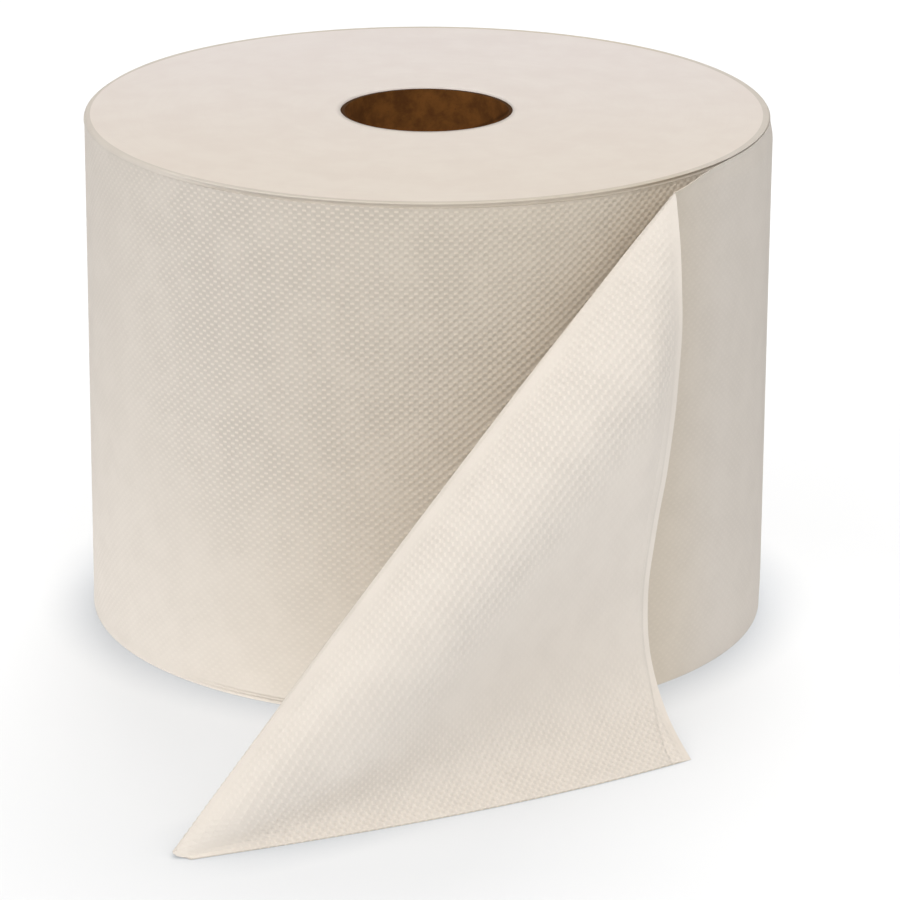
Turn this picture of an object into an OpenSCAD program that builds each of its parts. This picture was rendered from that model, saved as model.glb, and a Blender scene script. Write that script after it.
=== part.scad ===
// Large paper towel roll standing on its end, with its loose end folded over on the diagonal.
// Millimetres. The roll's axis is Z, its lower end face is at z = 0, and the loose end comes
// forward, towards -Y.

/* [Roll] */
// Diameter over the outermost turn
roll_d = 280; // [220:1:340]
// Width of the towel, which is the height of the roll
web_w = 210; // [170:1:260]
// Rounding of the soft outer rim, at both ends
rim_r = 1.8; // [0.6:0.1:4]
// Distance from one shallow ring line of the turns to the next on the end faces
turn_pitch = 4.3; // [3:0.1:8]
// Depth of those ring lines
turn_groove = 0.35; // [0.2:0.05:0.8]

/* [Core] */
// Bore of the cardboard core
core_bore_d = 67; // [40:1:90]
// Wall of the cardboard core
core_wall = 1.6; // [1:0.1:4]
// How far the core's ends lie inside the end faces of the towel
core_inset = 0.6; // [0:0.1:3]

/* [Loose end: sheet] */
// Thickness of the sheet
sheet_t = 0.8; // [0.6:0.1:1.2]
// Angle round the roll at which the outermost turn stops being bonded to the turn below
bond_angle = 18; // [0:1:40]
// Play between that turn and the roll where it leaves, at the upper rim
peel_play = 1.4; // [0.2:0.1:3]
// How far the outermost turn's upper edge lies below the end face
edge_drop = 0.8; // [0:0.1:3]

/* [Loose end: diagonal fold] */
// Angle of the fold's upper end round the roll
apex_angle = -52.4; // [-60:0.5:-45]
// Distance of the fold's upper end from the roll's side
apex_gap = 16.5; // [10:0.5:30]
// Angle of the tip, where the fold reaches the floor
tip_angle = -108.5; // [-115:0.5:-100]
// Distance of the tip from the roll's side
tip_reach = 151; // [120:1:180]
// Radius of the fold at its two ends
fold_r_end = 2; // [1.6:0.1:4]
// Radius of the fold half way down
fold_r_mid = 7; // [4:0.5:12]

/* [Loose end: flap] */
// Direction of the cut edge on the floor, from the tip to the free corner
cut_angle = 25.7; // [15:0.5:35]
// Length of the cut edge beyond the towel's own width, which is the blunt tip
tip_blunt = 5; // [3:0.5:12]
// How far the cut edge bows out of the straight line
cut_bow = 9.5; // [0:0.5:20]
// Pull of the fold on the flap: a longer one makes a rounder shoulder below the fold
shoulder_pull = 124; // [80:1:150]
// Pull of the floor on the flap: a longer one makes it lie flat for longer
floor_pull = 104; // [60:1:120]
// Rise of the flap above the floor at the end of that pull
floor_rise = 33; // [15:1:50]
// Direction in which the flap runs up from the floor towards the roll
flare_angle = 110.3; // [95:0.5:125]

/* [Hidden] */

core_r = core_bore_d / 2 + core_wall;
body_r = roll_d / 2 - sheet_t;
paper = [0.86, 0.82, 0.77];
cardboard = [0.42, 0.29, 0.16];

// The end faces carry their ring lines from one pitch outside the core to one inside the rim.
ring_first = core_r + turn_pitch;
ring_count = floor((body_r - rim_r - turn_pitch - ring_first) / turn_pitch);
// Ring lines wander by this share of their pitch, as real turns do.
ring_wander = 0.22;
ring_half_w = 0.45;

// Sheet stations: rows run up the towel's width, columns along its length.
rows = 26;
wrap_cols = 22;
straight_cols = 5;
fold_cols = 7;
flap_cols = 22;

// The sheet's middle surface lies this far off the roll where it is still wound on it.
seat_gap = 0.15;
seat = sheet_t / 2 + seat_gap;
// The bond line runs up the roll between its soft rims, through the sheet and into the roll.
bond_w = 3;
bond_depth = 2;
bond_margin = rim_r + 2;
// Bodies that are joined reach into each other by this much, and cuts run past the faces by it.
overlap = 0.1;
// The sheet's lower edge clears the floor by this much, so that the roll rests on its end face.
hem_gap = 0.1;
// A web line crosses the fold at the angle that the towel's edge makes with it.
cross_along = 0.749;
cross_over = 0.6626;
// The sheet turns into the fold this many fold radii above the point where it meets the crest.
fold_lead = 1.2;
// The cut edge ends this far beyond the towel's width, at the free corner.
corner_reach = 6;
// Shortest pull on a flap line, at the tip, and how the pulls grow from there to the corner.
least_pull = 2;
shoulder_growth = 0.83;
floor_growth = 1.15;

roll_facets = 240;
core_facets = 180;
rim_facets = 48;

function unit(v) = v / norm(v);
function mix(a, b, k) = a + (b - a) * k;
function polar(r, angle) = [r * cos(angle), r * sin(angle)];
function at_height(p, z) = [p.x, p.y, z];
function bezier(p0, p1, p2, p3, k) =
    pow(1 - k, 3) * p0 + 3 * pow(1 - k, 2) * k * p1 + 3 * (1 - k) * k * k * p2 + pow(k, 3) * p3;

// Ends of the fold's crest, and the free corner of the cut edge.
apex = at_height(polar(roll_d / 2 + apex_gap, apex_angle), web_w - edge_drop - fold_r_end / 4);
tip = at_height(polar(roll_d / 2 + tip_reach, tip_angle), sheet_t + fold_r_end / 2);
cut_dir = at_height(polar(1, cut_angle), 0);
cut_out = at_height(polar(1, cut_angle - 90), 0);
flare_dir = at_height(polar(1, flare_angle), 0);
fold_dir = unit(apex - tip);

// Everything below takes k, the height in the towel's width: 0 at its lower edge, 1 at its upper.
function web_z(k) = mix(hem_gap, web_w - edge_drop, k);
function play(k) = seat + peel_play * k;
function leave_r(k) = body_r + play(k);
function fold_r(k) = mix(fold_r_end, fold_r_mid, 4 * k * (1 - k));
function crest(k) = mix(tip, apex, k);

// The angle round the roll at which a straight run to point p leaves it.
function leave_angle(p, k) = atan2(p.y, p.x) + acos(leave_r(k) / norm([p.x, p.y]));
// The direction of the towel's length there, and the two directions across the fold.
function run_dir(p, k) = at_height(polar(1, leave_angle(p, k) - 90), 0);
function across(run) = unit(run - (run * fold_dir) * fold_dir);
function outward(run) = unit(cross(fold_dir, run));

// The line over the crest, and the end of the straight run behind the fold.
function over_dir(k) = -cross_along * fold_dir + cross_over * outward(run_dir(crest(k), k));
function behind(k) =
    let (run = run_dir(crest(k), k), r = fold_r(k))
    at_height(crest(k) - r * (across(run) + outward(run)) + fold_lead * r * fold_dir, web_z(k));

// The cut edge on the floor: a bowed line from the blunt tip to the corner.
function cut_edge(k) =
    let (reach = tip_blunt + k * (web_w - tip_blunt + corner_reach))
    at_height(tip + reach * cut_dir
        + (4 * k * (1 - k) * cut_bow + tip_blunt * pow(1 - k, 4)) * cut_out, sheet_t / 2);

// One row of the sheet's middle surface, from its bond with the roll to the cut edge.
function wrap_point(k, j, last) =
    let (rise = j / wrap_cols, angle = mix(bond_angle, last, rise))
    at_height(polar(body_r + mix(seat, play(k), rise), angle), web_z(k));
function straight_point(k, j, last) =
    mix(at_height(polar(leave_r(k), last), web_z(k)), behind(k), j / straight_cols);
function fold_point(k, j) =
    let (pull = fold_r(k))
    bezier(behind(k), behind(k) + pull * run_dir(behind(k), k),
        crest(k) - pull * over_dir(k), crest(k), j / fold_cols);
function flap_point(k, j) =
    let (
        from = crest(k),
        to = cut_edge(k),
        above = least_pull + shoulder_pull * pow(k, shoulder_growth),
        below = least_pull + floor_pull * pow(k, floor_growth)
    )
    bezier(from, from + above * over_dir(k),
        to + below * flare_dir + [0, 0, floor_rise * k], to, j / flap_cols);

function sheet_row(k) =
    let (last = leave_angle(behind(k), k))
    concat(
        [for (j = [0:wrap_cols - 1]) wrap_point(k, j, last)],
        [for (j = [0:straight_cols - 1]) straight_point(k, j, last)],
        [for (j = [0:fold_cols - 1]) fold_point(k, j)],
        [for (j = [0:flap_cols]) flap_point(k, j)]
    );

// A closed solid of even thickness on both sides of a grid of points.
module thick_sheet(grid, thickness) {
    nr = len(grid);
    nc = len(grid[0]);
    function g(i, j) = grid[min(max(i, 0), nr - 1)][min(max(j, 0), nc - 1)];
    function normal(i, j) = unit(cross(g(i + 1, j) - g(i - 1, j), g(i, j + 1) - g(i, j - 1)));
    function at(side, i, j) = side * nr * nc + i * nc + j;
    function shell(side) = [for (i = [0:nr - 1], j = [0:nc - 1])
        g(i, j) + (side - 0.5) * thickness * normal(i, j)];
    function quad(a, b, c, d) = [[a, c, b], [a, d, c]];
    faces = concat(
        [for (i = [0:nr - 2], j = [0:nc - 2])
            each quad(at(0, i, j), at(0, i, j + 1), at(0, i + 1, j + 1), at(0, i + 1, j))],
        [for (i = [0:nr - 2], j = [0:nc - 2])
            each quad(at(1, i, j), at(1, i + 1, j), at(1, i + 1, j + 1), at(1, i, j + 1))],
        [for (i = [0:nr - 2]) each quad(at(0, i, 0), at(0, i + 1, 0), at(1, i + 1, 0), at(1, i, 0))],
        [for (i = [0:nr - 2])
            each quad(at(0, i, nc - 1), at(1, i, nc - 1), at(1, i + 1, nc - 1), at(0, i + 1, nc - 1))],
        [for (j = [0:nc - 2]) each quad(at(0, 0, j), at(1, 0, j), at(1, 0, j + 1), at(0, 0, j + 1))],
        [for (j = [0:nc - 2])
            each quad(at(0, nr - 1, j), at(0, nr - 1, j + 1), at(1, nr - 1, j + 1), at(1, nr - 1, j))]
    );
    polyhedron(points = concat(shell(0), shell(1)), faces = faces, convexity = 10);
}

// The end of the towel that has come off the roll.
module loose_end() {
    thick_sheet([for (i = [0:rows]) sheet_row(i / rows)], sheet_t);
}

// The line where the last turn is still bonded to the roll.
module bond_line() {
    rotate(bond_angle)
        translate([body_r - bond_depth, -bond_w / 2, bond_margin])
            cube([bond_depth + seat + sheet_t / 2 + overlap, bond_w, web_w - 2 * bond_margin]);
}

// What the soft rim takes off a square corner, seen from the middle of its rounding.
module rim_cut() {
    difference() {
        square(2 * rim_r);
        circle(r = rim_r, $fn = rim_facets);
    }
}

// Half of the wound roll's section: flat ends with shallow ring lines, and a soft outer rim.
module roll_section() {
    function ring_r(i) = ring_first + turn_pitch * (i + ring_wander * sin(137.5 * i));
    lower = [for (i = [0:ring_count - 1]) each [
        [ring_r(i) - ring_half_w, 0], [ring_r(i), turn_groove], [ring_r(i) + ring_half_w, 0]
    ]];
    upper = [for (i = [ring_count - 1:-1:0]) each [
        [ring_r(i) + ring_half_w, web_w], [ring_r(i), web_w - turn_groove], [ring_r(i) - ring_half_w, web_w]
    ]];
    difference() {
        polygon(concat([[core_r, 0]], lower, [[body_r, 0], [body_r, web_w]], upper, [[core_r, web_w]]));
        translate([body_r - rim_r, web_w - rim_r]) rim_cut();
        translate([body_r - rim_r, rim_r]) mirror([0, 1]) rim_cut();
    }
}

module core_tube() {
    color(cardboard)
        translate([0, 0, core_inset])
            difference() {
                cylinder(r = core_r, h = web_w - 2 * core_inset, $fn = core_facets);
                translate([0, 0, -overlap]) cylinder(d = core_bore_d, h = web_w, $fn = core_facets);
            }
}

module towel_web() {
    color(paper)
        union() {
            rotate_extrude($fn = roll_facets) roll_section();
            bond_line();
            loose_end();
        }
}

core_tube();
towel_web();
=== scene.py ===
import math

import bpy
import numpy as np
from mathutils import Matrix, Vector


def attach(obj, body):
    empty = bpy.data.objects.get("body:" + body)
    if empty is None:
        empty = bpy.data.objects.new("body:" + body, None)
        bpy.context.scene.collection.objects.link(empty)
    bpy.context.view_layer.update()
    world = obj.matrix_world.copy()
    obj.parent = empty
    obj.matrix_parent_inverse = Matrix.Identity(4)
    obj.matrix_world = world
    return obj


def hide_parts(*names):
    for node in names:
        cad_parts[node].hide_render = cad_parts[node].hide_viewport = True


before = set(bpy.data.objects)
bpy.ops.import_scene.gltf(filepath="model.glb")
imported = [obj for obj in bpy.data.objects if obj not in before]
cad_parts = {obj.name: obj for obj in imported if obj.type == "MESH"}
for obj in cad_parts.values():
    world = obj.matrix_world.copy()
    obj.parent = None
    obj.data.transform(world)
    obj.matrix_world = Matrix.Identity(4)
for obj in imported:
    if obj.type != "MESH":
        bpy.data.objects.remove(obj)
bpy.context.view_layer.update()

# Sizes of the part in millimetres and degrees, as in its source.
MM = 0.001
UP = np.array([0, 0, 1.0])
ROLL_R, WEB_W, SHEET_T = 140.0, 210.0, 0.8
BODY_R = ROLL_R - SHEET_T
CORE_R = 35.1
BOND_ANGLE, PEEL_PLAY, EDGE_DROP, HEM_GAP = 18.0, 1.4, 0.8, 0.1
SEAT = SHEET_T / 2 + 0.15
APEX_ANGLE, APEX_GAP = -52.4, 16.5
TIP_ANGLE, TIP_REACH = -108.5, 151.0
FOLD_R_END, FOLD_R_MID, FOLD_LEAD = 2.0, 7.0, 1.2
CROSS_ALONG, CROSS_OVER = 0.749, 0.6626
CUT_ANGLE, TIP_BLUNT, CORNER_REACH, CUT_BOW = 25.7, 5.0, 6.0, 9.5
FLARE_ANGLE, FLOOR_RISE = 110.3, 33.0
LEAST_PULL, SHOULDER_PULL, FLOOR_PULL = 2.0, 124.0, 104.0
SHOULDER_GROWTH, FLOOR_GROWTH = 0.83, 1.15

# Emboss: staggered dots that rise and sink by DOT_H. A lattice cell is half a dot pitch each way.
CELL_X, CELL_Z, DOT_H = 1.9, 1.65, 0.08
FACE_R = BODY_R - DOT_H
ROLL_COLS, SIDE_ROWS = 460, 126
END_COLS, END_ROWS = 222, 127

# The side runs between these heights, and the flat end faces end this far inside it.
SIDE_FIRST, SIDE_LAST = 4.0, WEB_W - 2.0
LOWER_FACE_IN, UPPER_FACE_IN = 2.4, 2.6
LOWER_FACE_RINGS, UPPER_FACE_RINGS, WALL_RINGS = 24, 42, 5
# Greatest depth of the turns on the end faces, and what each seventh ring of the upper one adds.
LOWER_DEPTH, UPPER_DEPTH, GROOVE_DEPTH = 0.12, 0.10, 0.08
# Radians from one ring to the next on the wave that makes their depths uneven.
TURN_STEP = 137.5
# The side of the roll lies in by this much on average, and wanders by as much.
SIDE_PLAY = 0.15

# Lower rim: its rounding, and the frayed layers over it as height and depth, round this angle.
LOWER_RIM, LOWER_RIM_RINGS = 1.1, 5
FRAYS = ((1.5, 0.0), (1.8, 0.5), (2.1, 0.0), (2.7, 0.0), (3.0, 0.45), (3.3, 0.0))
FRAY_ANGLE, FRAY_SPAN = 245, 16
# Upper rim, as inwards and down from the corner: a narrow pressed-in line under a lip.
LIP = (
    (0.0, 1.7), (0.4, 1.55), (0.75, 1.25), (0.75, 0.8), (0.4, 0.5),
    (0.05, 0.42), (0.0, 0.2), (0.2, 0.04), (0.8, 0.0),
)
# Round this angle the upper rim is worn round, so far inwards and down.
WORN_ANGLE, WORN_SPAN = 190, 40
WORN_RIM_IN, WORN_RIM_DOWN = 2.4, 1.9

# The loose end as it is shown: a thin sheet that stays this far over the floor.
PAPER_T, FLOOR_PLAY = 0.6, 0.02
# Points along each of its lines: wrapped on the roll, running straight, over the fold, and on the flap.
WRAP_POINTS, STRAIGHT_POINTS, FOLD_POINTS, FLAP_POINTS = 160, 60, 60, 240
# At the bond it sinks into the roll by this much, and it comes out within this many degrees.
SINK, SINK_ANGLE = 0.55, 9.0
# Length of the flap from the fold to the cut edge: at the tip, and what it gains up to the free edge.
FLAP_LEAST, FLAP_GAIN = 5, 239
# The flap bulges by BULGE along its normal, over BULGE_SPAN below the fold.
BULGE, BULGE_SPAN = 7.5, 150.0
# Free edge: the height and width of the hem, and the height, place and half width of the line beside it.
HEM_H, HEM_W = 0.9, 5.0
LINE_H, LINE_IN, LINE_HALF_W = 0.25, 6.5, 1.3
# The strip outside that line widens towards the cut, between these places along the towel.
STRIP_W, STRIP_W_AT_CUT = 3.6, 10.0
STRIP_GROWS_FROM, STRIP_GROWS_TO = 375.0, 420.0
# It fades in where the towel goes over the fold, between these places.
STRIP_FADES_FROM, STRIP_FADES_TO = 225.0, 310.0
# Crease low down at the right: its height at CREASE_ANGLE, its fall per degree from there, its depth.
CREASE_ANGLE, CREASE_Z, CREASE_SLOPE, CREASE_H = -20, 15.5, 0.14, 0.45

# A wandering field is the sum of this many waves, brought to about -1 to 1.
WAVE_COUNT, WAVE_SPREAD = 7, 1.4


def smooth(a, b, x):
    """A soft step from 0 where x is a to 1 where it is b."""
    t = np.clip((np.asarray(x, float) - a) / (b - a), 0, 1)
    return t * t * (3 - 2 * t)


def unit(v):
    return v / np.linalg.norm(v, axis=-1, keepdims=True)


def polar(r, degrees):
    a = np.radians(degrees)
    x, y = r * np.cos(a), r * np.sin(a)
    return np.stack([x, y, np.zeros_like(x)], -1)


def waves(u, v, seed):
    """A smooth wandering field of u and v, about -1 to 1: waves that run in random directions."""
    rng = np.random.default_rng(seed)
    total = np.zeros(np.broadcast(u, v).shape)
    for _ in range(WAVE_COUNT):
        heading = rng.uniform(0, 2 * math.pi)
        pace = rng.uniform(0.5, 1.0)
        phase = rng.uniform(0, 2 * math.pi)
        total += np.sin(pace * (math.cos(heading) * u + math.sin(heading) * v) + phase)
    return total / WAVE_COUNT ** 0.5 / WAVE_SPREAD


def mesh_object(name, points, emboss, quads, materials, quad_materials, uv, flat):
    """A mesh from points in mm and quads that index them.

    Each point has the strength of its emboss, and each quad its material, uvs in mm and flat shading.
    """
    mesh = bpy.data.meshes.new(name)
    mesh.vertices.add(len(points))
    mesh.vertices.foreach_set("co", (points * MM).astype(np.float32).ravel())
    mesh.loops.add(quads.size)
    mesh.loops.foreach_set("vertex_index", quads.astype(np.int32).ravel())
    mesh.polygons.add(len(quads))
    mesh.polygons.foreach_set("loop_start", np.arange(0, quads.size, 4, dtype=np.int32))
    mesh.polygons.foreach_set("loop_total", np.full(len(quads), 4, dtype=np.int32))
    mesh.polygons.foreach_set("use_smooth", ~flat)
    for material in materials:
        mesh.materials.append(material)
    mesh.polygons.foreach_set("material_index", quad_materials.astype(np.int32))
    layer = mesh.uv_layers.new(name="lattice")
    layer.data.foreach_set("uv", uv.reshape(-1, 2).astype(np.float32).ravel())
    strength = mesh.attributes.new("emboss", "FLOAT", "POINT")
    strength.data.foreach_set("value", emboss.astype(np.float32).ravel())
    mesh.update(calc_edges=True)
    mesh.validate()
    obj = bpy.data.objects.new(name, mesh)
    bpy.context.scene.collection.objects.link(obj)
    return obj


def quads_of(*corners):
    return np.stack(corners, -1).reshape(-1, 4)


def ridged(quads, uv, turned):
    """Starts the turned quads one corner on, so that each splits along the ridge of its raised corners."""
    quads[turned] = np.roll(quads[turned], -1, axis=1)
    uv[turned] = np.roll(uv[turned], -1, axis=1)


# Materials

class Nodes:
    """Short names for building a node tree."""

    def __init__(self, tree):
        self.tree = tree
        tree.nodes.clear()

    def add(self, kind, **values):
        """A node with its inputs, or else its own settings, set by name."""
        node = self.tree.nodes.new(kind)
        for key, value in values.items():
            if key in node.inputs:
                self.put(node.inputs[key], value)
            else:
                setattr(node, key, value)
        return node

    def put(self, socket, value):
        if isinstance(value, bpy.types.NodeSocket):
            self.tree.links.new(value, socket)
        else:
            socket.default_value = value

    def math(self, operation, *values):
        node = self.add("ShaderNodeMath", operation=operation)
        for socket, value in zip(node.inputs, values):
            self.put(socket, value)
        return node.outputs[0]

    def plus(self, a, b):
        return self.math("ADD", a, b)

    def times(self, a, b):
        return self.math("MULTIPLY", a, b)

    def mix(self, factor, a, b):
        node = self.add("ShaderNodeMix", data_type="RGBA")
        self.put(node.inputs[0], factor)
        self.put(node.inputs[6], a)
        self.put(node.inputs[7], b)
        return node.outputs[2]

    def ramp(self, value, low, high, to_low=0.0, to_high=1.0):
        """A soft step: to_low where value is low, and to_high where it is high."""
        node = self.add("ShaderNodeMapRange", interpolation_type="SMOOTHSTEP")
        for socket, number in zip(node.inputs, (value, low, high, to_low, to_high)):
            self.put(socket, number)
        return node.outputs[0]

    def noise(self, vector, scale, detail, roughness):
        return self.add(
            "ShaderNodeTexNoise", Vector=vector, Scale=scale, Detail=detail, Roughness=roughness
        ).outputs[0]

    def place(self):
        return self.add("ShaderNodeNewGeometry").outputs["Position"]

    def split(self, vector):
        return self.add("ShaderNodeSeparateXYZ", Vector=vector).outputs

    def scaled(self, colour, factor):
        node = self.add("ShaderNodeVectorMath", operation="SCALE", Vector=colour, Scale=factor)
        return node.outputs[0]

    def tinted(self, colour, tint):
        node = self.add("ShaderNodeVectorMath", operation="MULTIPLY")
        self.put(node.inputs[0], colour)
        self.put(node.inputs[1], tint)
        return node.outputs[0]

    def both(self, a, b):
        node = self.add("ShaderNodeAddShader")
        self.put(node.inputs[0], a)
        self.put(node.inputs[1], b)
        return node.outputs[0]

    def either(self, factor, a, b):
        node = self.add("ShaderNodeMixShader")
        for socket, value in zip(node.inputs, (factor, a, b)):
            self.put(socket, value)
        return node.outputs[0]

    def glow(self, kind, colour, strength=1.0):
        return self.add(kind, Color=colour, Strength=strength).outputs[0]

    def finish(self, surface, kind="ShaderNodeOutputMaterial"):
        self.put(self.add(kind).inputs[0], surface)

    def matt(self, colour, height, strength, distance, roughness, specular):
        """Finishes the tree as a matt surface with height as its bump."""
        bump = self.add("ShaderNodeBump", Strength=strength, Distance=distance, Height=height)
        skin = self.add("ShaderNodeBsdfPrincipled", Roughness=roughness)
        self.put(skin.inputs["Base Color"], colour)
        self.put(skin.inputs["Specular IOR Level"], specular)
        self.put(skin.inputs["Normal"], bump.outputs[0])
        self.finish(skin.outputs[0])


def new_material(name):
    material = bpy.data.materials.new(name)
    material.use_nodes = True
    return material, Nodes(material.node_tree)


def rgb(r, g, b):
    """sRGB levels of 0 to 255 as a linear colour."""
    def linear(c):
        c /= 255
        return c / 12.92 if c <= 0.04045 else ((c + 0.055) / 1.055) ** 2.4
    return (linear(r), linear(g), linear(b), 1.0)


def bare_paper(n, colour, deep):
    """Mottled paper with a few darker fibres: its place, mottle, colour and height of bump."""
    place = n.place()
    mottle = n.noise(place, scale=60.0, detail=2.0, roughness=0.6)
    fibres = n.noise(place, scale=1500.0, detail=2.0, roughness=0.7)
    fibre_colour = tuple(c * 0.82 for c in deep[:3]) + (1.0,)
    base = n.mix(n.ramp(mottle, 0.3, 0.7), colour, deep)
    base = n.mix(n.ramp(fibres, 0.62, 0.78, 0.0, 0.35), base, fibre_colour)
    return place, mottle, base, n.times(fibres, 0.06)


def dots(n, mottle, side, bump, painted_contrast):
    """Dots that stand up (side 1) or lie in (side -1): their u and v, height, and a scale of the colour
    that paints light and shade on them.

    The colour's dashes, a painted highlight on each dot with painted shade between, are broader and
    sharper than the relief of the dots.
    """
    u, v, _ = n.split(n.add("ShaderNodeUVMap", uv_map="lattice").outputs[0])
    across = n.math("COSINE", n.times(u, math.pi / CELL_X))
    along = n.math("COSINE", n.times(v, math.pi / CELL_Z))
    narrow = n.math("POWER", along, 3.0)
    strength = n.add("ShaderNodeAttribute", attribute_name="emboss").outputs["Fac"]
    profile = n.times(across, n.plus(n.times(along, 0.35), n.times(narrow, 0.65)))
    height = n.times(n.times(profile, strength), side * bump)
    # The colour's dashes are painted light and shade: a highlight on each dot, and shade between the dots.
    dashes = n.times(n.ramp(across, -0.6, 0.6, -side, side), narrow)
    uneven = n.times(strength, n.ramp(mottle, 0.3, 0.7, 0.75, 1.25))
    painted_light_and_shade = n.times(n.ramp(dashes, -0.1, 0.9, -0.35, 0.65), uneven)
    return u, v, height, n.plus(1.0, n.times(painted_light_and_shade, painted_contrast))


def paper_finish(n, base, height):
    n.matt(base, height, strength=0.8, distance=0.0006, roughness=0.93, specular=0.12)


def side_paper_material():
    """The towel's outer face. A painted tint of bounced light makes its hue warm in front, and cooler at
    the left and the right.
    """
    material, n = new_material("side_paper")
    place, mottle, base, height = bare_paper(n, rgb(209, 200, 188), rgb(206, 197, 185))
    # Its colour scale paints the dots' highlights and shade into the colour.
    _, _, dot_height, scale = dots(n, mottle, side=1, bump=0.38, painted_contrast=0.19)
    x = n.split(place)[0]
    # Painted light: a warm tint in front, where light bounces between the flap and the roll, and a cooler
    # one at the sides.
    warm = n.times(n.ramp(x, -0.15, 0.06), n.ramp(x, 0.12, 0.09))
    tint = n.mix(warm, (1.0, 1.003, 1.02, 1), (1.0, 0.975, 0.925, 1))
    paper_finish(n, n.tinted(n.scaled(base, scale), tint), n.plus(height, dot_height))
    return material


def inner_paper_material():
    """The towel's inner face, which shows on the flap.

    A line is pressed beside the free edge, and the strip outside it widens towards the cut. Painted shade
    darkens the line, and painted light brightens the strip.
    """
    material, n = new_material("inner_paper")
    _, mottle, base, height = bare_paper(n, rgb(224, 215, 204), rgb(221, 212, 201))
    # Its colour scale paints the dots' highlights and shade into the colour.
    u, v, dot_height, scale = dots(n, mottle, side=-1, bump=0.3, painted_contrast=0.09)
    width = n.ramp(u, STRIP_GROWS_FROM, STRIP_GROWS_TO, STRIP_W, STRIP_W_AT_CUT)
    beyond = n.plus(n.math("SUBTRACT", v, WEB_W), width)
    on_flap = n.ramp(u, STRIP_FADES_FROM, STRIP_FADES_TO, 0.1, 1.0)
    line = n.times(n.ramp(n.math("ABSOLUTE", beyond), 0.0, 0.9, 1.0, 0.0), on_flap)
    strip = n.times(n.ramp(beyond, 0.3, 1.2), on_flap)
    # Painted shade darkens the pressed line, and painted light brightens the strip outside it.
    painted_edge_light_and_shade = n.math("SUBTRACT", n.times(strip, 0.045), n.times(line, 0.05))
    height = n.plus(n.plus(height, dot_height), n.times(line, 0.4))
    paper_finish(n, n.scaled(base, n.plus(scale, painted_edge_light_and_shade)), height)
    return material


def end_paper_material():
    """The end faces of the roll, with fine turns in broad bands. A painted tint of light makes their hue
    drift from warmer at the front to lighter and cooler at the back.
    """
    material, n = new_material("end_paper")
    deep = rgb(223, 212, 203)
    place, _, base, height = bare_paper(n, rgb(226, 216, 207), deep)
    x, y, _ = n.split(place)
    radius = n.math("SQRT", n.plus(n.math("POWER", x, 2.0), n.math("POWER", y, 2.0)))
    angle = n.math("ARCTAN2", y, x)

    def turns(per_metre, per_radian):
        at = n.add("ShaderNodeCombineXYZ", X=n.times(radius, per_metre), Y=n.times(angle, per_radian))
        return n.noise(at.outputs[0], scale=1.0, detail=1.0, roughness=0.6)

    fine, broad = turns(2600.0, 1.2), turns(350.0, 0.7)
    height = n.plus(height, n.times(fine, 0.12))
    base = n.mix(n.ramp(broad, 0.35, 0.7, 0.0, 0.3), base, deep)
    # Painted light: warmer at the front, lighter and cooler at the back.
    tint = n.mix(n.ramp(y, -0.14, 0.14), (1.0, 0.995, 0.96, 1), (1.01, 1.025, 1.06, 1))
    paper_finish(n, n.tinted(base, tint), height)
    return material


def board_material():
    """Blotched brown cardboard with a spiral seam. Its cut ends are darker."""
    material, n = new_material("board")
    seam_pitch = 0.105
    place = n.place()
    x, y, z = n.split(place)
    angle = n.math("ARCTAN2", y, x)
    turn = n.plus(n.math("DIVIDE", angle, 2 * math.pi), n.math("DIVIDE", z, seam_pitch))
    seam = n.ramp(n.math("PINGPONG", turn, 0.5), 0.0, 0.012, 1.0, 0.0)
    blotch = n.noise(place, scale=90.0, detail=5.0, roughness=0.65)
    flecks = n.noise(place, scale=900.0, detail=3.0, roughness=0.7)
    facing_up = n.math("ABSOLUTE", n.split(n.add("ShaderNodeNewGeometry").outputs["Normal"])[2])
    base = n.mix(n.ramp(blotch, 0.35, 0.68), rgb(130, 82, 34), rgb(94, 56, 20))
    base = n.mix(n.ramp(flecks, 0.6, 0.75, 0.0, 0.6), base, rgb(62, 38, 18))
    base = n.mix(n.times(seam, 0.5), base, rgb(66, 40, 16))
    base = n.mix(n.ramp(facing_up, 0.5, 0.9), base, rgb(70, 44, 20))
    height = n.plus(n.times(flecks, 0.4), n.times(seam, -0.8))
    n.matt(base, height, strength=0.6, distance=0.0003, roughness=0.85, specular=0.2)
    return material


side_paper = side_paper_material()
inner_paper = inner_paper_material()
end_paper = end_paper_material()
board = board_material()


# The wound roll: rings round the axis, each with its radius, height, kind and row of the lattice.
# They run from the core's lower edge outwards, up the side, and back to the core and down its wall.

def near(degrees, middle, width):
    """1 in the middle of a stretch round the roll, falling softly to 0 on both sides of it."""
    return np.exp(-(((degrees - middle + 180) % 360 - 180) / width) ** 2)


def turn_depth(i):
    """An uneven depth of 0 to 1 for ring i of an end face."""
    return (1 + math.sin(TURN_STEP * i)) * 0.5


def lower_face():
    """Rings with small gaps to the floor, except for the first and the last."""
    rings = []
    for i, r in enumerate(np.linspace(CORE_R, FACE_R - LOWER_FACE_IN, LOWER_FACE_RINGS)):
        inside = 0 < i < LOWER_FACE_RINGS - 1
        rings.append((r, inside * LOWER_DEPTH * turn_depth(i), "end", 0))
    return rings


def lower_rim(degrees):
    frayed = near(degrees, FRAY_ANGLE, FRAY_SPAN)
    rings = []
    for t in np.linspace(0, 1, LOWER_RIM_RINGS) * math.pi / 2:
        rings.append((FACE_R - LOWER_RIM * (1 - math.sin(t)), LOWER_RIM * (1 - math.cos(t)), "rim", 0))
    for z, depth in FRAYS:
        rings.append((FACE_R - depth * frayed, z, "rim", 0))
    return rings


def side_rings():
    height = SIDE_LAST - SIDE_FIRST
    return [(FACE_R, SIDE_FIRST + height * i / SIDE_ROWS, "side", i) for i in range(SIDE_ROWS + 1)]


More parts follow.
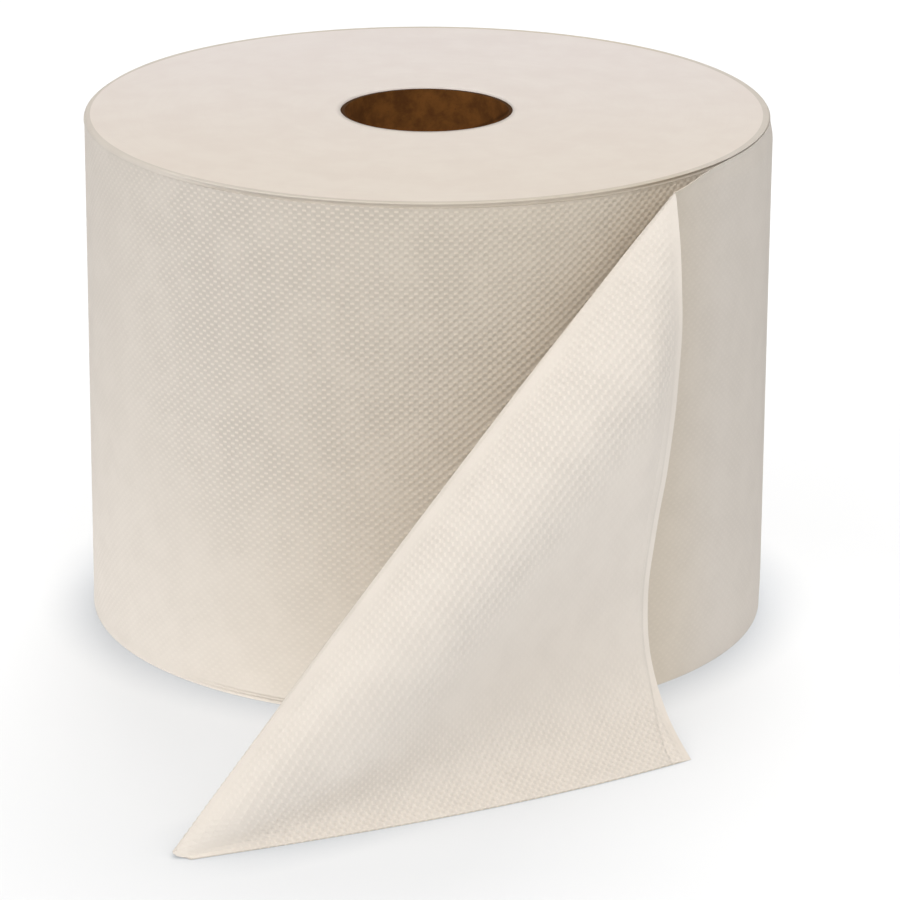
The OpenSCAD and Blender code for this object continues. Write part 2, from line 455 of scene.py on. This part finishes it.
def upper_rim(angles, degrees):
    """The lip and its line, which wander up and down and are worn round at the left."""
    worn = smooth(0.15, 0.75, near(degrees, WORN_ANGLE, WORN_SPAN))
    wander = 0.35 * waves(angles * 2.5, 0 * angles, 5) + 0.12 * waves(angles * 14, 0 * angles, 6)
    rings = []
    for i, (inwards, down) in enumerate(LIP):
        t = i / (len(LIP) - 1) * math.pi / 2
        worn_in, worn_down = WORN_RIM_IN * (1 - math.cos(t)), WORN_RIM_DOWN * (1 - math.sin(t))
        drop = down + wander * min(1.0, down)
        radius = FACE_R - inwards * (1 - worn) - worn_in * worn
        rings.append((radius, WEB_W - drop * (1 - worn) - worn_down * worn, "rim", 0))
    return rings


def upper_face(angles):
    """Rings at uneven depths that wander round the roll, except for the first and the last."""
    rings = []
    for i, r in enumerate(np.linspace(FACE_R - UPPER_FACE_IN, CORE_R, UPPER_FACE_RINGS)):
        inside = 0 < i < UPPER_FACE_RINGS - 1
        depth = inside * (UPPER_DEPTH * turn_depth(i) + GROOVE_DEPTH * (i % 7 == 3))
        uneven = 1 + 0.3 * waves(angles * 2 + i, 0 * angles, 9)
        rings.append((r, WEB_W - depth * uneven, "end", SIDE_ROWS))
    return rings


def core_wall():
    return [(CORE_R, z, "end", 0) for z in np.linspace(WEB_W, 0, WALL_RINGS)[1:-1]]


def roll_wear(angles, degrees, z):
    """The share of the emboss that is left on the side: least at the left, low down and at the right."""
    low = 1 - smooth(20, 120, z)
    from_left = smooth(0, 1, (degrees - 206 - 30 * low) / (34 + 10 * low))
    share = 0.2 + 0.8 * from_left * smooth(350, 298, degrees)
    share = np.where(degrees < 180, 0.85, share)
    share = share * (1 + 0.25 * waves(angles * 9, z * 0.05, 21)) * (1 - 0.3 * low)
    return np.clip(share, 0, 1)


def roll():
    angles = np.arange(ROLL_COLS) * 2 * math.pi / ROLL_COLS
    degrees = np.degrees(angles)
    rings = lower_face() + lower_rim(degrees) + side_rings()
    rings += upper_rim(angles, degrees) + upper_face(angles) + core_wall()
    count = len(rings)
    radius = np.stack([np.broadcast_to(r, angles.shape) for r, _, _, _ in rings])
    height = np.stack([np.broadcast_to(z, angles.shape) for _, z, _, _ in rings])
    kinds = np.array([kind for _, _, kind, _ in rings])
    row = np.array([row for _, _, _, row in rings])

    side = kinds == "side"
    z = height[side]
    edge = smooth(2.5, 7, z) * smooth(0.5, 2.5, WEB_W - z)
    col = np.arange(ROLL_COLS)
    sign = np.where((col + row[side][:, None]) % 2 == 0, 1.0, -1.0)
    emboss = np.zeros(radius.shape)
    emboss[side] = edge * roll_wear(angles, degrees, z)
    radius[side] += DOT_H * sign * emboss[side]
    radius[side] += SIDE_PLAY * waves(angles * 6, z * 0.03, 3) * edge - SIDE_PLAY * edge
    points = np.stack([radius * np.cos(angles), radius * np.sin(angles), height], -1).reshape(-1, 3)

    here = np.arange(count)[:, None] * ROLL_COLS
    following = np.roll(here, -1, axis=0)
    next_col = (col + 1) % ROLL_COLS
    quads = quads_of(here + col, here + next_col, following + next_col, following + col)
    arc = np.arange(ROLL_COLS + 1) * CELL_X
    v = row[:, None] * CELL_Z
    uv = np.zeros((count, ROLL_COLS, 4, 2))
    uv[:, :, 0, 0] = uv[:, :, 3, 0] = arc[:-1]
    uv[:, :, 1, 0] = uv[:, :, 2, 0] = arc[1:]
    uv[:, :, 0, 1] = uv[:, :, 1, 1] = v
    uv[:, :, 2, 1] = uv[:, :, 3, 1] = np.roll(v, -1, axis=0)
    uv = uv.reshape(-1, 4, 2)
    flat = np.repeat(side & np.roll(side, -1), ROLL_COLS)
    ridged(quads, uv, flat & ((row[:, None] + col) % 2 == 1).ravel())
    is_end = np.repeat(kinds == "end", ROLL_COLS)
    return mesh_object("towel_roll", points, emboss, quads, [side_paper, end_paper], is_end, uv, flat)


# The loose end: its middle surface has a row for each of the towel's lines, from the bond to the cut.

apex = polar(ROLL_R + APEX_GAP, APEX_ANGLE) + (WEB_W - EDGE_DROP - FOLD_R_END / 4) * UP
tip = polar(ROLL_R + TIP_REACH, TIP_ANGLE) + (SHEET_T + FOLD_R_END / 2) * UP
cut_dir, cut_out = polar(1.0, CUT_ANGLE), polar(1.0, CUT_ANGLE - 90)
flare_dir = polar(1.0, FLARE_ANGLE)
fold_dir = unit(apex - tip)


def bezier(p0, p1, p2, p3, count):
    """Curves from the points p0 to the points p3, with count points each."""
    k = np.linspace(0, 1, count)[None, :, None]
    p0, p1, p2, p3 = (p[:, None, :] for p in (p0, p1, p2, p3))
    return (1 - k) ** 3 * p0 + 3 * (1 - k) ** 2 * k * p1 + 3 * (1 - k) * k * k * p2 + k ** 3 * p3


def web_lines(k):
    """The towel's lines at heights k in its width, from the bond to the cut edge, as dense polylines."""
    web_z = HEM_GAP + (WEB_W - EDGE_DROP - HEM_GAP) * k
    play = SEAT + PEEL_PLAY * k
    leave_r = BODY_R + play
    fold_r = (FOLD_R_END + (FOLD_R_MID - FOLD_R_END) * 4 * k * (1 - k))[:, None]
    crest = tip + (apex - tip) * k[:, None]

    def leave_angle(p):
        return np.degrees(np.arctan2(p[:, 1], p[:, 0]) + np.arccos(leave_r / np.hypot(p[:, 0], p[:, 1])))

    def run_dir(p):
        return polar(1.0, leave_angle(p) - 90)

    run = run_dir(crest)
    across = unit(run - (run @ fold_dir)[:, None] * fold_dir)
    outward = unit(np.cross(fold_dir, run))
    over = -CROSS_ALONG * fold_dir + CROSS_OVER * outward
    behind = crest - fold_r * (across + outward) + FOLD_LEAD * fold_r * fold_dir
    behind[:, 2] = web_z

    last = leave_angle(behind)
    rise = np.linspace(0, 1, WRAP_POINTS)
    degrees = BOND_ANGLE + (last[:, None] - BOND_ANGLE) * rise
    lift = SEAT + (play[:, None] - SEAT) * rise
    lift = lift - (SEAT + SINK) * (1 - smooth(0.0, SINK_ANGLE, BOND_ANGLE - degrees))
    wrap = polar(BODY_R + lift, degrees) + UP * web_z[:, None, None]

    leave = polar(leave_r, last) + UP * web_z[:, None]
    on_run = np.linspace(0, 1, STRAIGHT_POINTS)[:, None]
    straight = leave[:, None, :] + (behind - leave)[:, None, :] * on_run
    into_fold = behind + fold_r * run_dir(behind)
    fold = bezier(behind, into_fold, crest - fold_r * over, crest, FOLD_POINTS)

    reach = TIP_BLUNT + k * (WEB_W - TIP_BLUNT + CORNER_REACH)
    bow = 4 * k * (1 - k) * CUT_BOW + TIP_BLUNT * (1 - k) ** 4
    cut = tip + reach[:, None] * cut_dir + bow[:, None] * cut_out
    cut[:, 2] = SHEET_T / 2
    above = (LEAST_PULL + SHOULDER_PULL * k ** SHOULDER_GROWTH)[:, None] * over
    below = (LEAST_PULL + FLOOR_PULL * k ** FLOOR_GROWTH)[:, None] * flare_dir
    below = below + UP * (FLOOR_RISE * k)[:, None]
    flap = bezier(crest, crest + above, cut + below, cut, FLAP_POINTS)
    return np.concatenate([wrap[:, :-1], straight[:, :-1], fold[:, :-1], flap], axis=1)


def even_points(lines, count):
    """Each polyline resampled to count + 1 points at even steps of its length, and the lengths."""
    out = np.zeros((len(lines), count + 1, 3))
    lengths = np.zeros(len(lines))
    for i, line in enumerate(lines):
        step = np.linalg.norm(np.diff(line, axis=0), axis=1)
        at = np.concatenate([[0], np.cumsum(step)])
        lengths[i] = at[-1]
        wanted = np.linspace(0, at[-1], count + 1)
        for axis in range(3):
            out[i, :, axis] = np.interp(wanted, at, line[:, axis])
    return out, lengths


def end_emboss(k, along, below, to_cut, from_edge, from_tip, flap):
    """Strength of the emboss, which is faint where the towel is wrapped on the roll, and at its borders.

    On the flap it is clear in a band below the fold and near the cut edge, and worn between them.
    """
    from_lower_edge = k * END_ROWS * CELL_Z
    strength = smooth(10, 45, from_tip) * smooth(0, 6, from_lower_edge) * smooth(0, 9, from_edge)
    strength = strength * (0.15 + 0.85 * flap)
    strength = strength * np.clip(1 + 0.3 * waves(along * 0.05, k * 9, 31), 0, 1)
    return strength * (1 - flap * 0.85 * smooth(58, 82, below) * smooth(22, 60, to_cut))


def flap_bulge(k, below, flap_length):
    """The bulge as a share of its height: quickly out below the fold, and slowly back further down."""
    t = np.linspace(0, 1, 400)
    turned = smooth(0.26, 0.42, t)
    out = smooth(0, 0.06, t) * (1 - turned)
    back = turned * (1 - smooth(0.8, 1.0, t))
    rise = np.cumsum(out / out.sum() - back / back.sum())
    fade_from = np.maximum(flap_length - 35, flap_length / 2)
    bulge = np.interp(below / BULGE_SPAN, t, rise / rise.max())
    bulge = bulge * (1 - smooth(fade_from, flap_length, below))
    return bulge * smooth(0.03, 0.12, k) * smooth(1.0, 0.92, k)


def free_edge(along, below, from_edge):
    """Height of the free edge, which is a little thick and wavy, with one line beside it."""
    hem = (1 - smooth(2.4, HEM_W, from_edge)) * (0.6 + 0.25 * waves(along * 0.22, 0 * along, 41))
    line = np.exp(-((from_edge - LINE_IN) / LINE_HALF_W) ** 2)
    line = line * smooth(50, 90, below) * smooth(185, 150, below)
    return HEM_H * hem + LINE_H * line


def crease(degrees, z):
    """Depth of a crease low down on the side at the right, where the last turn has been pressed in."""
    crease_z = CREASE_Z - CREASE_SLOPE * (degrees - CREASE_ANGLE)
    press = 0.35 * np.exp(-((z - crease_z) / 1.2) ** 2) + 0.9 * smooth(0, 1, (crease_z - z) / crease_z)
    at_right = smooth(-62, -30, degrees) * smooth(16, -8, degrees)
    return CREASE_H * np.minimum(press, 0.9) * at_right


def rim_gap(k, grid, degrees):
    """What the last turn moves in at its upper edge, where it lies close to the rim of the roll."""
    apart = np.hypot(grid[..., 0], grid[..., 1]) - BODY_R
    return np.clip(apart, 0, 2) * smooth(0.96, 0.995, k) * smooth(-50, -38, degrees)


def sheet_quads():
    """The sheet's quads on its outer face, inner face and four edges, and which ones of a face are odd."""
    rows, cols = END_ROWS, END_COLS

    def at(side, row, col):
        return (side * (rows + 1) + row) * (cols + 1) + col

    r, c = np.meshgrid(np.arange(rows), np.arange(cols), indexing="ij")
    a, b = np.arange(rows), np.arange(cols)
    outer = quads_of(at(0, r, c), at(0, r + 1, c), at(0, r + 1, c + 1), at(0, r, c + 1))
    inner = quads_of(at(1, r, c), at(1, r, c + 1), at(1, r + 1, c + 1), at(1, r + 1, c))
    edges = [
        quads_of(at(0, a, 0), at(1, a, 0), at(1, a + 1, 0), at(0, a + 1, 0)),
        quads_of(at(0, a, cols), at(0, a + 1, cols), at(1, a + 1, cols), at(1, a, cols)),
        quads_of(at(0, 0, b), at(0, 0, b + 1), at(1, 0, b + 1), at(1, 0, b)),
        quads_of(at(0, rows, b), at(1, rows, b), at(1, rows, b + 1), at(0, rows, b + 1)),
    ]
    odd = ((r + c) % 2 == 1).ravel()
    return outer, inner, np.concatenate(edges), odd


def loose_end():
    row, col = np.arange(END_ROWS + 1)[:, None], np.arange(END_COLS + 1)[None, :]
    k = row / END_ROWS
    grid, lengths = even_points(web_lines(k[:, 0]), END_COLS)
    normals = unit(np.cross(np.gradient(grid, axis=0), np.gradient(grid, axis=1)))
    along = col * lengths[:, None] / END_COLS
    to_cut = lengths[:, None] - along
    flap_length = FLAP_LEAST + FLAP_GAIN * k
    below = flap_length - to_cut
    from_edge = (END_ROWS - row) * CELL_Z
    flap = smooth(0, 12, below)
    degrees = np.degrees(np.arctan2(grid[..., 1], grid[..., 0]))

    from_tip = np.linalg.norm(grid - tip, axis=2)
    emboss = end_emboss(k, along, below, to_cut, from_edge, from_tip, flap)
    sign = np.where((row + col) % 2 == 0, 1.0, -1.0)
    lift = DOT_H * sign * emboss - BULGE * flap_bulge(k, below, flap_length)
    lift = lift + flap * free_edge(along, below, from_edge)
    inwards = (1 - flap) * (crease(degrees, grid[..., 2]) + rim_gap(k, grid, degrees))
    from_axis = unit(grid * np.array([1, 1, 0]))
    middle = grid + normals * lift[..., None] - from_axis * inwards[..., None]

    points = np.concatenate([
        (middle + normals * PAPER_T / 2).reshape(-1, 3),
        (middle - normals * PAPER_T / 2).reshape(-1, 3),
    ])
    points[:, 2] = np.maximum(points[:, 2], FLOOR_PLAY)
    outer, inner, edges, odd = sheet_quads()
    quads = np.concatenate([outer, inner, edges])
    v, u = np.divmod(quads % grid[..., 0].size, END_COLS + 1)
    uv = np.stack([u * CELL_X, v * CELL_Z], -1)
    ridged(quads, uv, np.concatenate([odd, ~odd, np.zeros(len(edges), bool)]))
    flat = np.arange(len(quads)) < len(outer) + len(inner)
    is_inner = flat & (np.arange(len(quads)) >= len(outer))
    emboss = np.concatenate([emboss, emboss])
    sheet = mesh_object("loose_end", points, emboss, quads, [side_paper, inner_paper], is_inner, uv, flat)
    return sheet, lengths.mean()


towel = roll()
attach(towel, "root")
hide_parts("towel_web")

end_sheet, sheet_length = loose_end()
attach(end_sheet, "root")
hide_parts("towel_web")

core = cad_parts["core_tube"]
core.data.materials.clear()
core.data.materials.append(board)


# Floor, sky, lights and camera, in metres and degrees

FLOOR_SIZE = 40
GLOW_X, GLOW_Y, GLOW_SPREAD, GLOW_STRENGTH = -0.085, -0.08, 0.05, 1.04
SHADOW_REACH = 0.025
# Soft lights as azimuth, elevation and power. Azimuth 0 comes from the front and 90 from the right.
LIGHTS = (
    (0, 42, 0.71), (45, 42, 0.84), (135, 42, 0.13), (270, 42, 0.72), (315, 42, 0.90),
    (90, 68, 0.69), (180, 68, 0.31),
)
# One more from the back, for the floor alone: it draws the soft shadow in front.
FLOOR_LIGHT = (172, 35, 3.8)
LIGHT_SPREAD = 40


def floor_material():
    """A white table. It shows white with a soft grey shadow, partly cast by the lamps and partly painted
    where the objects hem it in, and sends some light up near its middle.
    """
    material, n = new_material("floor_white")
    path = n.add("ShaderNodeLightPath").outputs
    mirrored = n.math("MAXIMUM", path["Is Glossy Ray"], path["Is Transmission Ray"])
    seen = n.math("MAXIMUM", path["Is Camera Ray"], mirrored)

    x, y, _ = n.split(n.place())
    x, y = n.math("SUBTRACT", x, GLOW_X), n.math("SUBTRACT", y, GLOW_Y)
    squared = n.plus(n.times(x, x), n.times(y, y))
    fading = n.math("EXPONENT", n.math("DIVIDE", squared, -GLOW_SPREAD))
    bounce = n.add("ShaderNodeBsdfDiffuse", Color=(0.62, 0.635, 0.66, 1)).outputs[0]
    lamp = n.glow("ShaderNodeEmission", (0.98, 1.0, 1.03, 1), n.times(fading, GLOW_STRENGTH))

    # Near the objects the occlusion darkens the floor's colour and its glow to the camera: a painted
    # contact shadow.
    open_air = n.add("ShaderNodeAmbientOcclusion", samples=3, Distance=SHADOW_REACH).outputs["AO"]
    painted_shadow_tone = n.ramp(open_air, 0.3, 0.96)
    matt_colour_with_painted_shadow = n.mix(painted_shadow_tone, (0.19, 0.20, 0.21, 1), (0.30, 0.30, 0.30, 1))
    glow_colour_with_painted_shadow = n.mix(painted_shadow_tone, (0.38, 0.39, 0.405, 1), (0.548, 0.548, 0.548, 1))
    matt = n.add("ShaderNodeBsdfDiffuse", Color=matt_colour_with_painted_shadow).outputs[0]
    glow_with_painted_shadow = n.glow("ShaderNodeEmission", glow_colour_with_painted_shadow)
    n.finish(n.either(seen, n.both(bounce, lamp), n.both(matt, glow_with_painted_shadow)))
    return material


def sky():
    """A dim even sky that shows white behind the floor."""
    world = bpy.data.worlds.new("sky")
    bpy.context.scene.world = world
    world.use_nodes = True
    n = Nodes(world.node_tree)
    height = n.split(n.add("ShaderNodeTexCoord").outputs["Generated"])[2]
    colour = n.mix(n.ramp(height, 0.0, 0.9), (0.03, 0.03, 0.03, 1), (0.05, 0.05, 0.05, 1))
    seen = n.add("ShaderNodeLightPath").outputs["Is Camera Ray"]
    dim, white = n.glow("ShaderNodeBackground", colour), n.glow("ShaderNodeBackground", (1, 1, 1, 1))
    n.finish(n.either(seen, dim, white), "ShaderNodeOutputWorld")


def soft_light(azimuth, elevation, power):
    """A wide soft light from far away."""
    data = bpy.data.lights.new(f"soft_{azimuth}_{elevation}", "SUN")
    data.energy = power
    data.angle = math.radians(LIGHT_SPREAD)
    obj = bpy.data.objects.new(data.name, data)
    a, e = math.radians(azimuth), math.radians(elevation)
    away = Vector((math.sin(a) * math.cos(e), -math.cos(a) * math.cos(e), math.sin(e)))
    obj.rotation_mode = "QUATERNION"
    obj.rotation_quaternion = (-away).to_track_quat("-Z", "Y")
    bpy.context.scene.collection.objects.link(obj)
    return obj


def camera_at(place, target, lean, lens):
    """A camera at place that looks at target, leaning to its right by an angle in radians."""
    data = bpy.data.cameras.new("camera")
    data.sensor_width = 36
    data.lens = lens
    data.clip_start, data.clip_end = 0.05, 100
    forward = (target - place).normalized()
    right = forward.cross(Vector((0, 0, 1))).normalized()
    upward = right.cross(forward)
    right, upward = (
        right * math.cos(lean) + upward * math.sin(lean),
        upward * math.cos(lean) - right * math.sin(lean),
    )
    turn = Matrix((right, upward, -forward)).transposed().to_4x4()
    camera = bpy.data.objects.new("camera", data)
    bpy.context.scene.collection.objects.link(camera)
    camera.matrix_world = Matrix.Translation(place) @ turn
    return camera


bpy.ops.mesh.primitive_plane_add(size=FLOOR_SIZE)
floor = bpy.context.object
floor.name = "floor"
floor.data.materials.append(floor_material())

sky()
for light in LIGHTS:
    soft_light(*light)
only_floor = bpy.data.collections.new("only_floor")
only_floor.objects.link(floor)
soft_light(*FLOOR_LIGHT).light_linking.receiver_collection = only_floor

bpy.context.scene.camera = camera_at(
    place=Vector((0.00034, -1.90187, 0.71507)),
    target=Vector((0.00999, 0, 0.06348)),
    lean=0.00347,
    lens=193.17,
)
bpy.context.scene.view_settings.view_transform = "Standard"
